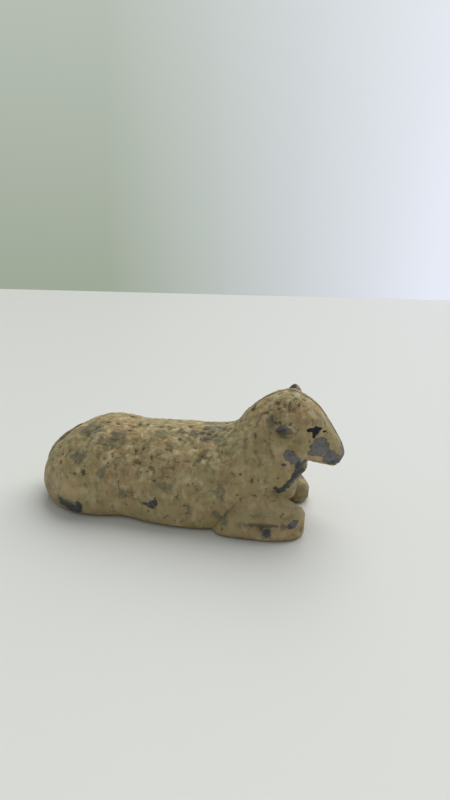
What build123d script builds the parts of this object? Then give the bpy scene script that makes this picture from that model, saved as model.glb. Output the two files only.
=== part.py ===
from build123d import *
from collections import namedtuple
from math import cos, radians, sin
import os

# A hollow cast-lead sheep that lies with its head up and its forelegs folded.
# X runs to the nose, Y to the sheep's left and Z up from the table it lies on.
# All sizes are in millimetres and degrees.

# Trunk
trunk_length = 36.6
back_height = 15.4
croup_height = 15.5
body_half_width = 12.0
base_sink = 1.5

# Neck and head
withers_height = 16.6
neck_run = 10.2
crest_rise = 1.5
poll_height = 23.9
neck_half_width = 7.6
brow_run = 4.6
brow_drop = 2.1
head_half_width = 5.6
face_run = 5.6
face_drop = 8.2
face_bow = 0.95
muzzle_half_width = 3.0
muzzle_depth = 2.6
chin_setback = 1.8
jaw_rise = 0.5
jaw_setback = 6.2
chest_setback = 8.4

# Casting walls, and the soldered seam between the two halves
wall = 1.6
floor_thickness = 2.0
seam_thickness = 0.3
seam_ridge = 0.12
solder_gap = 0.05

# Hole in the underside through which the hot air left when the halves were soldered
vent_radius = 1.3
vent_setback = 32.0

# Folded foreleg
leg_length = 15.3
leg_stand_out = 0.6
leg_toe_in = 2.8
elbow_width = 7.1
elbow_height = 6.2
knee_width = 5.8
knee_height = 4.6
leg_bevel = 0.9
leg_end_inset = 1.4
shin_groove_height = 2.3
shin_groove_radius = 0.4
leg_peg_radius = 1.2
leg_peg_length = 4.6
leg_peg_height = 3.4
leg_peg_cover = 1.0

# Ears, of which the right one has been bent down
ear_drop = 6.5
ear_sink = 1.0
ear_length = 6.0
right_ear_lift_angle = 23.0
left_ear_lift_angle = 48.0
ear_root_radius = 1.7
ear_tip_radius = 0.9
ear_half_thickness = 1.0
ear_bevel = 0.45
ear_peg_radius = 0.6
ear_peg_length = 3.6

# Tail
tail_thickness = 1.0
tail_top_radius = 0.9
tail_low_radius = 2.2
tail_peg_spacing = 2.0
tail_peg_radius = 0.5
tail_peg_length = 3.0

# Landmarks along the side view, each worked out from the sizes above
overall_length = tail_thickness + trunk_length + neck_run + brow_run + face_run
rump_x = tail_thickness - overall_length / 2
withers_x = rump_x + trunk_length
poll_x = withers_x + neck_run
brow_x = poll_x + brow_run
nose_x = brow_x + face_run
chin_x = nose_x - chin_setback
jaw_x = nose_x - jaw_setback
chest_x = nose_x - chest_setback
brow_height = poll_height - brow_drop
nose_height = brow_height - face_drop
chin_height = nose_height - muzzle_depth
jaw_height = chin_height + jaw_rise
belly_z = -base_sink

# Where the fitted pieces sit on the body
elbow_x = withers_x - leg_stand_out
knee_x = elbow_x + leg_length
leg_outer_y = body_half_width + leg_stand_out
ear_root_y = head_half_width - ear_sink
ear_root_z = poll_height - ear_drop
vent_x = nose_x - vent_setback

# A rib is one cross-section: its ends on the back line and the belly line, its greatest half width,
# the share of its height at which it is widest, and how full its curve is above and below that.
Rib = namedtuple("Rib", "back_x back_z belly_x belly_z half_width widest upper_fullness lower_fullness")


def between(start, end, share):
    return start + (end - start) * share


def trunk_rib(back_share, back_z, belly_share, width_share):
    """A rib of the trunk, placed by its shares of the trunk's length and half width."""
    back_x = rump_x + trunk_length * back_share
    belly_x = rump_x + trunk_length * belly_share
    return Rib(back_x, back_z, belly_x, belly_z, body_half_width * width_share, 0.35, 0.6, 0.9)


def neck_rib(share, rise_share, belly_point, half_width):
    """A rib of the neck: its upper end lies on the crest, which rises above the straight line to the poll."""
    back_x = between(withers_x, poll_x, share)
    back_z = between(withers_height, poll_height, share) + crest_rise * rise_share
    return Rib(back_x, back_z, *belly_point, half_width, 0.42, 0.58, 0.7)


def face_rib(share, bow_share, belly_point, half_width):
    """A rib of the face: its upper end stands out from the line of brow and nose by a share of the bow."""
    back_x = between(brow_x, nose_x, share)
    back_z = between(brow_height, nose_height, share) + face_bow * bow_share
    return Rib(back_x, back_z, *belly_point, half_width, 0.46, 0.62, 0.62)


def rump_ribs():
    """Ribs that fan round the rump, from the table up to the croup."""
    return [
        trunk_rib(0.041, croup_height * 0.04, 0.057, 0.20),
        trunk_rib(0.019, croup_height * 0.135, 0.076, 0.36),
        trunk_rib(0.008, croup_height * 0.32, 0.101, 0.52),
        trunk_rib(0.044, croup_height * 0.535, 0.142, 0.70),
        trunk_rib(0.123, croup_height * 0.73, 0.202, 0.86),
        trunk_rib(0.219, croup_height * 0.90, 0.273, 0.97),
    ]


def barrel_ribs():
    """Upright ribs from the haunch to the shoulder, a little drawn in at the flank."""
    shoulder_z = between(back_height, withers_height, 0.35)
    return [
        trunk_rib(0.347, croup_height, 0.372, 1.02),
        trunk_rib(0.519, back_height * 0.985, 0.525, 0.94),
        trunk_rib(0.705, back_height, 0.710, 1.01),
        trunk_rib(0.888, shoulder_z, 0.907, 0.97),
    ]


def neck_ribs():
    """Ribs that fan from the withers and the chest up to the poll and the throat."""
    foot = (between(withers_x, chest_x, 0.18), belly_z)
    brisket = (between(withers_x, chest_x, 0.55), jaw_height * 0.03)
    chest = (between(withers_x, chest_x, 0.84), jaw_height * 0.27)
    breast = (between(chest_x, jaw_x, 0.1), jaw_height * 0.55)
    throat = (between(chest_x, jaw_x, 0.7), jaw_height * 0.82)
    return [
        neck_rib(0.00, 0.00, foot, body_half_width * 0.89),
        neck_rib(0.25, 0.67, brisket, between(body_half_width, neck_half_width, 0.45)),
        neck_rib(0.50, 1.00, chest, between(body_half_width, neck_half_width, 0.8)),
        neck_rib(0.77, 0.80, breast, neck_half_width),
        neck_rib(1.03, 0.00, throat, between(neck_half_width, head_half_width, 0.5)),
    ]


def head_ribs():
    """Ribs that fan round the jaw, from the poll down the face to the mouth."""
    poll_front = (between(poll_x, brow_x, 0.6), between(poll_height, brow_height, 0.45))
    cheek_half_width = between(neck_half_width, head_half_width, 0.85)

    def jaw_point(share, drop):
        return (between(jaw_x, chin_x, share), between(jaw_height, chin_height, drop))

    return [
        Rib(*poll_front, *jaw_point(0, 0), cheek_half_width, 0.5, 0.6, 0.6),
        face_rib(0.05, 0.10, jaw_point(0.27, 0.20), head_half_width * 0.95),
        face_rib(0.39, 0.95, jaw_point(0.55, 0.60), head_half_width * 0.79),
        face_rib(0.68, 0.95, jaw_point(0.80, 1.00), muzzle_half_width * 1.2),
        face_rib(0.89, 0.67, jaw_point(1.00, 1.00), muzzle_half_width * 0.97),
        face_rib(0.98, 0.05, jaw_point(1.18, 0.20), muzzle_half_width * 0.73),
        face_rib(1.00, -0.65, jaw_point(1.31, -1.40), muzzle_half_width * 0.37),
    ]


def with_middle_ribs(ribs):
    """The ribs with one more midway between each two, on the smooth curve through its four neighbours."""
    fine = [ribs[0]]
    for i in range(len(ribs) - 1):
        neighbours = zip(ribs[max(i - 1, 0)], ribs[i], ribs[i + 1], ribs[min(i + 2, len(ribs) - 1)])
        fine.append(Rib(*[(9 * (b + c) - (a + d)) / 16 for a, b, c, d in neighbours]))
        fine.append(ribs[i + 1])
    return fine


def rib_ends(rib, inset):
    """The upper and lower end of a rib on the median plane, drawn in by an inset."""
    back = Vector(rib.back_x, 0, rib.back_z)
    belly = Vector(rib.belly_x, 0, rib.belly_z)
    up = (back - belly).normalized()
    return back - up * inset, belly + up * inset


def rib_curves(rib, inset):
    """The lower and the upper curve of the right half of a rib, drawn in by an inset, as control points."""
    out = Vector(0, -1, 0)
    top, bottom = (end + out * (seam_thickness / 2) for end in rib_ends(rib, inset))
    rise = top - bottom
    reach = out * (rib.half_width - inset - seam_thickness / 2)
    low_rise = rise * rib.widest
    high_rise = rise - low_rise
    side = bottom + low_rise + reach
    low, high = rib.lower_fullness, rib.upper_fullness
    lower = (bottom, bottom + reach * low, side - low_rise * low, side)
    upper = (side, side + high_rise * high, top + reach * high, top)
    return lower, upper


def half_rib(rib, inset):
    """The closed outline of the right half of a rib, drawn in by an inset and closed at the seam."""
    lower, upper = rib_curves(rib, inset)
    return Wire([Edge.make_bezier(*lower), Edge.make_bezier(*upper), Edge.make_line(upper[3], lower[0])])


def core_rib(rib, inset):
    """The outline of the flat-sided core at a rib, which meets the drawn-in curves at ends and middles."""
    lower, upper = rib_curves(rib, inset)
    a, b, c, d = upper
    middle = (a + b * 3 + c * 3 + d) / 8
    return Wire.make_polygon([lower[0], a, middle, d])


def above(level):
    """A block that holds everything above a level."""
    reach = overall_length * 2
    return Pos(0, 0, level) * Box(reach, reach, reach, align=(Align.CENTER, Align.CENTER, Align.MIN))


def half_body(outlines, level):
    """The right half of a body through the outlines of its ribs, cut off at a level."""
    return Solid.make_loft(outlines, ruled=True) & above(level)


def median_slab(ribs, insets, level, thickness):
    """A slab on the median plane within the ribs, each drawn in by its inset, cut off at a level."""
    ends = [rib_ends(rib, inset) for rib, inset in zip(ribs, insets)]
    outline = [top for top, bottom in ends] + [bottom for top, bottom in reversed(ends)]
    face = make_face(Polyline(*outline, close=True))
    return extrude(face, thickness / 2, dir=(0, 1, 0), both=True) & above(level)


def peg(start, direction, length, radius):
    """A round peg from a point along a direction."""
    base = (Align.CENTER, Align.CENTER, Align.MIN)
    return Plane(start, z_dir=direction) * Cylinder(radius, length, align=base)


def tapered_outline(length, start_radius, end_radius):
    """The outline of a bar that is round at both ends, from a circle to one at a length along X."""
    return make_hull(Circle(start_radius).edges() + (Pos(length, 0) * Circle(end_radius)).edges())


def bar(start, end, across, radii, half_width, bevel):
    """A bar from one point to another, round at both ends, with a width across it and bevelled rims."""
    plane = Plane(start, x_dir=end - start, z_dir=across)
    square_bar = extrude(plane * tapered_outline((end - start).length, *radii), half_width, both=True)
    sides = square_bar.faces().sort_by(Axis(start, across))
    return chamfer(sides[0].edges() + sides[-1].edges(), bevel)


def leg_side(share):
    """How far out the foreleg's outside stands at a share of its length, turning in to the knee."""
    return leg_outer_y - leg_toe_in * share ** 4


def leg_section(share, fullness):
    """The outline of the right foreleg at a share of its length, smaller where it is less than full."""
    inset = leg_end_inset * (1 - fullness)
    outer_y = leg_side(share) - inset
    inner_y = outer_y + inset * 1.5 - between(elbow_width, knee_width, share)
    top_z = between(elbow_height, knee_height, share) * between(0.2, 1, fullness)
    rise = (outer_y - inner_y) * (1 - share ** 2) * 0.8 * between(0.3, 1, fullness)
    bevel = leg_bevel * between(0.5, 1, fullness)
    corners = [
        (inner_y, 0),
        (outer_y - bevel / 2, 0),
        (outer_y, bevel),
        (outer_y, top_z - bevel),
        (outer_y - bevel, top_z),
        (inner_y, top_z + rise),
    ]
    x = between(elbow_x, knee_x, share)
    return Wire.make_polygon([Vector(x, -y, z) for y, z in corners])


def foreleg_form():
    """The right foreleg before it is seated: folded flat, toed in, and rising inwards to the shoulder."""
    elbow_end = [leg_section(0.0, 0.0), leg_section(0.07, 0.35), leg_section(0.18, 0.7)]
    forearm = [leg_section(share, 1) for share in (0.32, 0.5, 0.71, 0.88)]
    knee_end = [leg_section(0.96, 0.85), leg_section(1.0, 0.5)]
    return Solid.make_loft(elbow_end + forearm + knee_end, ruled=True)


def shin_groove():
    """The groove where the shin lies under the forearm, in two lengths along the foreleg's outside."""
    places = [(between(elbow_x, knee_x, share), -leg_side(share)) for share in (0.22, 0.6, 0.86)]
    back, bend, front = [Vector(x, y, shin_groove_height) for x, y in places]
    rear_length = peg(back, bend - back, (bend - back).length, shin_groove_radius)
    return rear_length + peg(bend, front - bend, (front - bend).length, shin_groove_radius)


def foreleg_peg(gap):
    """The peg that holds the right foreleg to the shoulder, or with a gap the hole for it."""
    start = Vector(between(elbow_x, knee_x, 0.3), leg_peg_cover - leg_outer_y, leg_peg_height)
    return peg(start, Vector(0, 1, 0), leg_peg_length + gap, leg_peg_radius + gap)


def ear_axis(lift_angle):
    """The direction in which a right ear stands out from the head."""
    return Vector(0, -cos(radians(lift_angle)), sin(radians(lift_angle)))


def ear_point(lift_angle, share):
    """A point of a right ear's middle line, by its share of the way from the root to the tip."""
    return Vector(poll_x, -ear_root_y, ear_root_z) + ear_axis(lift_angle) * (ear_length * share)


def ear_form(lift_angle):
    """A right ear before it is seated: a flat leaf that grows out of the head and narrows to its tip."""
    root = ear_point(lift_angle, 0)
    tip = ear_point(lift_angle, 1)
    across = ear_axis(lift_angle).cross(Vector(1, 0, 0))
    return bar(root, tip, across, (ear_root_radius, ear_tip_radius), ear_half_thickness, ear_bevel)


def ear_peg(lift_angle, gap):
    """The peg that holds a right ear to the head, or with a gap the hole for it."""
    start = ear_point(lift_angle, 0.4)
    return peg(start, -ear_axis(lift_angle), ear_peg_length + gap, ear_peg_radius + gap)


def tail_form(ribs):
    """The tail before it is seated: a strap along the rump, thinner upwards and round at both ends."""
    last = len(ribs) - 1
    insets = [-tail_thickness * between(1.6, 0.5, i / last) for i in range(len(ribs))]
    strap = median_slab(ribs, insets, 0, tail_low_radius * 2)
    low = Vector(rump_x - tail_low_radius, 0, ribs[0].back_z + tail_low_radius)
    height = ribs[-1].back_z - tail_top_radius - low.Z
    from_behind = Plane(low, x_dir=(0, 0, 1), z_dir=(1, 0, 0))
    outline = from_behind * tapered_outline(height, tail_low_radius, tail_top_radius)
    return strap & extrude(outline, trunk_length)


def tail_peg(rib, gap):
    """The peg that holds the tail to the right half at one rib, or with a gap the hole for it."""
    start = Vector(rib.back_x, -tail_peg_spacing / 2, rib.back_z)
    inward = Vector(rib.belly_x - rib.back_x, 0, rib.belly_z - rib.back_z)
    return peg(start, inward, tail_peg_length + gap, tail_peg_radius + gap)


def mirrored(shape):
    """The same shape on the sheep's left."""
    return mirror(shape, about=Plane.XZ)


# The two cast halves, alike apart from the holes for the ears
control_ribs = rump_ribs() + barrel_ribs() + neck_ribs() + head_ribs()
ribs = with_middle_ribs(control_ribs)
core_ribs = control_ribs[3:-4]
tail_rib = control_ribs[3]
outer_half = half_body([half_rib(rib, 0) for rib in ribs], 0)
hollow_half = half_body([core_rib(rib, wall) for rib in core_ribs], floor_thickness)
vent = peg(Vector(vent_x, 0, 0), Vector(0, 0, 1), floor_thickness, vent_radius)
holes = vent + foreleg_peg(solder_gap) + tail_peg(tail_rib, solder_gap)
half_shell = outer_half - hollow_half - holes
right_half_shell = half_shell - ear_peg(right_ear_lift_angle, solder_gap)
left_half_shell = mirrored(half_shell - ear_peg(left_ear_lift_angle, solder_gap))

# The solder that fills the seam between the halves and stands a little proud of it
seam_body = median_slab(ribs, [-seam_ridge] * len(ribs), 0, seam_thickness)
seam_hollow = median_slab(core_ribs, [wall] * len(core_ribs), floor_thickness, seam_thickness)
seam_solder = seam_body - seam_hollow - vent

# The pieces soldered to the halves, each cut to the face it is seated on
right_foreleg = foreleg_form() - shin_groove() - outer_half + foreleg_peg(0)
right_ear = ear_form(right_ear_lift_angle) - outer_half + ear_peg(right_ear_lift_angle, 0)
left_ear = mirrored(ear_form(left_ear_lift_angle) - outer_half + ear_peg(left_ear_lift_angle, 0))
tail_strap = tail_form(ribs[2:10]) - outer_half - mirrored(outer_half) - seam_body
tail = tail_strap + tail_peg(tail_rib, 0) + mirrored(tail_peg(tail_rib, 0))

nodes = {
    "right_half_shell": right_half_shell,
    "left_half_shell": left_half_shell,
    "seam_solder": seam_solder,
    "right_foreleg": right_foreleg,
    "left_foreleg": mirrored(right_foreleg),
    "right_ear": right_ear,
    "left_ear": left_ear,
    "tail": tail,
}

os.makedirs("parts", exist_ok=True)
for name, shape in nodes.items():
    export_step(shape, f"parts/{name}.step")
    print(name, round(shape.volume, 1), "mm3")
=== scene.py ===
import bpy
import math
import numpy as np
from mathutils import Matrix, Vector


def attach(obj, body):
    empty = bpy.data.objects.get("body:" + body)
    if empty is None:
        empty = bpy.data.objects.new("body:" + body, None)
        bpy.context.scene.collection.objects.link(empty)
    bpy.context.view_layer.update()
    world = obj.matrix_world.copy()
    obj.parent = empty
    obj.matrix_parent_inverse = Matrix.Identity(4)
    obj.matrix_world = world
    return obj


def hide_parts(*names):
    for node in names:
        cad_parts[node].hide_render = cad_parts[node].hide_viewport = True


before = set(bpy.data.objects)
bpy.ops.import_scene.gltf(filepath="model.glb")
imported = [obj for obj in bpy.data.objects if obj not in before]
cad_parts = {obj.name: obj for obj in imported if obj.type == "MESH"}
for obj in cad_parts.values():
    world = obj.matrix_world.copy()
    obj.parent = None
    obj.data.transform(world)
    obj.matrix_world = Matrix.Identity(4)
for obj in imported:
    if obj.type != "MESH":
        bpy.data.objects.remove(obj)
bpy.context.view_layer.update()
print("frame loaded:", ", ".join(sorted(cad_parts)))

mm = 0.001  # every size below is in millimetres until a mesh is made
noiseCells = 32  # a noise repeats after this many cubes
noiseShift = 640  # whole repeats that keep the cubes' numbers above 0
sharpAngle = 55  # edges steeper than this stay sharp
oval = {"top": 1.25, "fall": 0.5, "ragged": 0.3}
# what the paint reads at each vertex; hollow and shade hold painted shade, grime holds dirt and some painted
# shade
markNames = ("wear", "hollow", "grime", "eye", "flush", "shade", "plain")


# smooth step: 0 below low, 1 above high, 3s^2 - 2s^3 between them
def ease(value, low, high):
    share = np.clip((value - low) / (high - low), 0, 1)
    return share * share * (3 - 2 * share)


# lattice noise: random values on the corners of cubes of one size, blended by the smooth step, -1 to 1
def latticeNoise(points, size, seed):
    values = np.random.default_rng(seed).uniform(-1, 1, (noiseCells,) * 3)
    scaled = points / size + noiseShift
    base = np.floor(scaled).astype(int)
    part = ease(scaled - base, 0, 1)
    total = 0
    for corner in np.ndindex(2, 2, 2):
        at = (base + corner) % noiseCells
        weight = np.prod(np.where(np.array(corner) == 1, part, 1 - part), axis=-1)
        total = total + weight * values[at[..., 0], at[..., 1], at[..., 2]]
    return total


# cell noise: one random point in each cube, and the distance to the nearest one in cube sizes
def cellNoise(points, size, seed):
    jitter = np.random.default_rng(seed).uniform(0, 1, (noiseCells,) * 3 + (3,))
    scaled = points / size + noiseShift
    base = np.floor(scaled).astype(int)
    nearest = np.full(points.shape[:-1], np.inf)
    for offset in np.ndindex(3, 3, 3):
        cell = base + np.array(offset) - 1
        at = cell % noiseCells
        spot = cell + jitter[at[..., 0], at[..., 1], at[..., 2]]
        nearest = np.minimum(nearest, np.linalg.norm(scaled - spot, axis=-1))
    return nearest


# smooth curve through rows of numbers (Catmull-Rom), read at a count of even steps
def throughRows(rows, count):
    rows = np.asarray(rows, float)
    last = len(rows) - 1
    at = np.linspace(0, last, count)
    base = np.clip(np.floor(at).astype(int), 0, last - 1)
    t = (at - base)[:, None]
    a, b, c, d = (rows[np.clip(base + k, 0, last)] for k in (-1, 0, 1, 2))
    bend, twist = 2 * a - 5 * b + 4 * c - d, 3 * b - a - 3 * c + d
    return 0.5 * (2 * b + (c - a) * t + bend * t**2 + twist * t**3)


# cubic curve of four control points, weighted s^3, 3s^2t, 3st^2 and t^3 with s = 1 - t
def cubic(p0, p1, p2, p3, t):
    s = 1 - t
    return s**3 * p0 + 3 * s * s * t * p1 + 3 * s * t * t * p2 + t**3 * p3


# surface normals of a grid: cross product of its two directions, all turned to lead out of the rings
def gridNormals(points):
    normal = np.cross(np.gradient(points, axis=0), np.gradient(points, axis=1))
    normal /= np.maximum(np.linalg.norm(normal, axis=-1, keepdims=True), 1e-9)
    away = points - points.mean(axis=1, keepdims=True)
    return normal * np.sign((normal * away).sum(axis=(1, 2)).mean())


# oval marks seen from the side, or from above with upright 1: the top value less a fall for each half size
# of distance, with a ragged edge, held from 0 to 1; a mark is x, z or y, half length, half height, tilt
def ovals(points, marks, rough, upright=2):
    mask = np.zeros(points.shape[:-1])
    for x, z, long, high, tilt in marks:
        turn = math.radians(tilt)
        dx, dz = points[..., 0] - x, points[..., upright] - z
        along = (dx * math.cos(turn) + dz * math.sin(turn)) / long
        across = (dz * math.cos(turn) - dx * math.sin(turn)) / high
        mask = np.maximum(mask, oval["top"] - oval["fall"] * np.hypot(along, across) + rough * oval["ragged"])
    return np.clip(mask, 0, 1)


# rounded lower edge: how far a quarter circle of this radius stands back from the wall at a height
def edgeInset(height, radius):
    below = np.clip(radius - height, 0, radius)
    return radius - np.sqrt(radius**2 - below**2)


# closed mesh from a grid of rings: quads round the rings, and a fan of triangles to a pole at each end,
# with the paint's marks at its vertices, 0 where a piece gives none
def ringMesh(name, points, marks):
    rings, around = points.shape[:2]
    index = np.arange(rings * around).reshape(rings, around)
    nextOne = np.roll(index, -1, axis=1)
    quads = np.stack([index[:-1], nextOne[:-1], nextOne[1:], index[1:]], axis=-1).reshape(-1, 4)
    poles = np.array([points[0].mean(axis=0), points[-1].mean(axis=0)])
    first, last = rings * around, rings * around + 1
    fanA = np.stack([np.full(around, first), nextOne[0], index[0]], axis=-1)
    fanB = np.stack([np.full(around, last), index[-1], nextOne[-1]], axis=-1)
    spots = np.concatenate([points.reshape(-1, 3), poles]) * mm
    fans = np.concatenate([fanA, fanB])
    corners = np.concatenate([quads[:, [0, 1, 2]], quads[:, [0, 2, 3]], fans])
    a, b, c = (spots[corners[:, k]] for k in range(3))
    if (a * np.cross(b, c)).sum() < 0:  # inside out, so every face is turned
        quads, fans = quads[:, ::-1], fans[:, ::-1]
    mesh = bpy.data.meshes.new(name)
    mesh.from_pydata(spots.tolist(), [], quads.tolist() + fans.tolist())
    for label in markNames:
        value = marks.get(label, np.zeros((rings, around)))
        atPoles = [value[0].mean(), value[-1].mean()]
        layer = mesh.attributes.new(label, "FLOAT", "POINT")
        layer.data.foreach_set("value", np.append(value.ravel(), atPoles).astype(np.float32))
    mesh.polygons.foreach_set("use_smooth", np.ones(len(mesh.polygons), dtype=bool))
    mesh.set_sharp_from_angle(angle=math.radians(sharpAngle))
    mesh.update()
    piece = bpy.data.objects.new(name, mesh)
    bpy.context.collection.objects.link(piece)
    return piece


# one piece, in worn paint, rides the body root and stands for one node of the frame
def settle(piece, node):
    piece.data.materials.append(paintMaterial)
    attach(piece, "root")
    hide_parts(node)
    print("  ", piece.name, "for", node, len(piece.data.polygons), "faces")


# one node of a kind, with its settings given by name
def addNode(tree, kind, **settings):
    made = tree.nodes.new(kind)
    for key, value in settings.items():
        setattr(made, key, value)
    return made


# noise on object coordinates, its scale one over the size, which is given in millimetres
def noiseNode(tree, coords, size, detail, rough, swirl):
    made = addNode(tree, "ShaderNodeTexNoise")
    made.inputs["Scale"].default_value = 1 / (size * mm)
    made.inputs["Detail"].default_value = detail
    made.inputs["Roughness"].default_value = rough
    made.inputs["Distortion"].default_value = swirl
    tree.links.new(coords, made.inputs["Vector"])
    return made.outputs["Fac"]


# straight ramp of a value from 0 at low to 1 at high
def rampNode(tree, value, low, high):
    made = addNode(tree, "ShaderNodeMapRange")
    made.inputs["From Min"].default_value = low
    made.inputs["From Max"].default_value = high
    tree.links.new(value, made.inputs["Value"])
    return made.outputs["Result"]


# sum, product or other result of two values, each a number or the output of a node
def mathNode(tree, operation, first, second):
    made = addNode(tree, "ShaderNodeMath", operation=operation)
    for socket, value in zip(made.inputs, (first, second)):
        if isinstance(value, (int, float)):
            socket.default_value = value
        else:
            tree.links.new(value, socket)
    return made.outputs["Value"]


# first colour times one less the share, plus second colour times the share
def mixColour(tree, share, first, second):
    made = addNode(tree, "ShaderNodeMix", data_type="RGBA")
    tree.links.new(share, made.inputs["Factor"])
    for label, value in (("A", first), ("B", second)):
        socket = [s for s in made.inputs if s.name == label and s.type == "RGBA"][0]
        if isinstance(value, tuple):
            socket.default_value = value + (1,)
        else:
            tree.links.new(value, socket)
    return [s for s in made.outputs if s.type == "RGBA"][0]


# a colour laid over another: its share is a ramp of a value times a strength
def layOver(tree, colour, value, ramp, strength, over):
    return mixColour(tree, mathNode(tree, "MULTIPLY", rampNode(tree, value, *ramp), strength), colour, over)


paint = {
    "tan": (0.375, 0.300, 0.140),
    "warm": (0.385, 0.260, 0.122),
    "blush": (0.52, 0.375, 0.200),
    "pale": (0.48, 0.41, 0.225),
    "cream": (0.62, 0.54, 0.32),
    # dusk: dusky grain and mottle, and the colour of painted shade
    "dusk": (0.176, 0.142, 0.070),
    # green: green-grey dirt, which also lays painted shade on the leg tops and the ears' rear edges
    "green": (0.120, 0.128, 0.082),
    # brown: specks and chip rims, and painted shade in the hollows
    "brown": (0.075, 0.052, 0.028),
    "lead": (0.178, 0.178, 0.174),
    "leadDark": (0.062, 0.064, 0.060),
    "black": (0.012, 0.012, 0.013),
    # noises: size in millimetres, detail, roughness, swirl
    "broad": (6.0, 3, 0.5, 0.0),
    "cloud": (3.0, 4, 0.55, 0.0),
    "patch": (2.2, 5, 0.62, 0.8),
    "mottle": (1.6, 4, 0.6, 0.6),
    "fine": (0.9, 3, 0.6, 0.0),
    "grain": (1.2, 3, 0.55, 0.5),
    "grainComb": (1, 1, 0.55),  # draws the grain out upwards
    # ramps: the value at which a colour begins, and the value at which it is full
    "warmRamp": (0.42, 0.60),
    "paleRamp": (0.50, 0.66),
    "creamRamp": (0.54, 0.68),
    "duskRamp": (0.46, 0.32),
    "greenRamp": (0.54, 0.74),
    "mottleRamp": (0.55, 0.70),
    "pitRamp": (0.25, 0.60),
    "speckRamp": (0.62, 0.69),
    "bareRamp": (0.60, 0.70),
    "rimOuter": (0.54, 0.60),
    "rimInner": (0.72, 0.80),
    "leadRamp": (0.34, 0.56),
    "eyeRamp": (0.45, 0.55),
    # strengths
    "warmShare": 0.85,
    "paleShare": 0.75,
    "greenShare": 0.75,
    "speckShare": 0.75,
    "brownMost": 0.88,
    "rimShare": 0.4,
    "grainHeights": (2.0, 12.0),  # the grain grows stronger between these
    "grainLow": 0.20,
    "grainGain": 0.55,
    "grimeOnPaint": 0.25,
    "grimeOnLead": 0.18,
    "raggedEdge": 0.7,
    "leadFine": 0.6,
    "leadCloud": 0.4,
    "metal": 0.15,
    "roughLow": 0.42,
    "roughMottle": 0.3,
    "roughLead": 0.1,
    "reflection": 0.3,
    "bumpMottle": 0.6,
    "bumpFine": 0.4,
    "bumpChip": 0.25,
    "bumpStrength": 0.5,
    "bumpHeight": 0.25,
}
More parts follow.
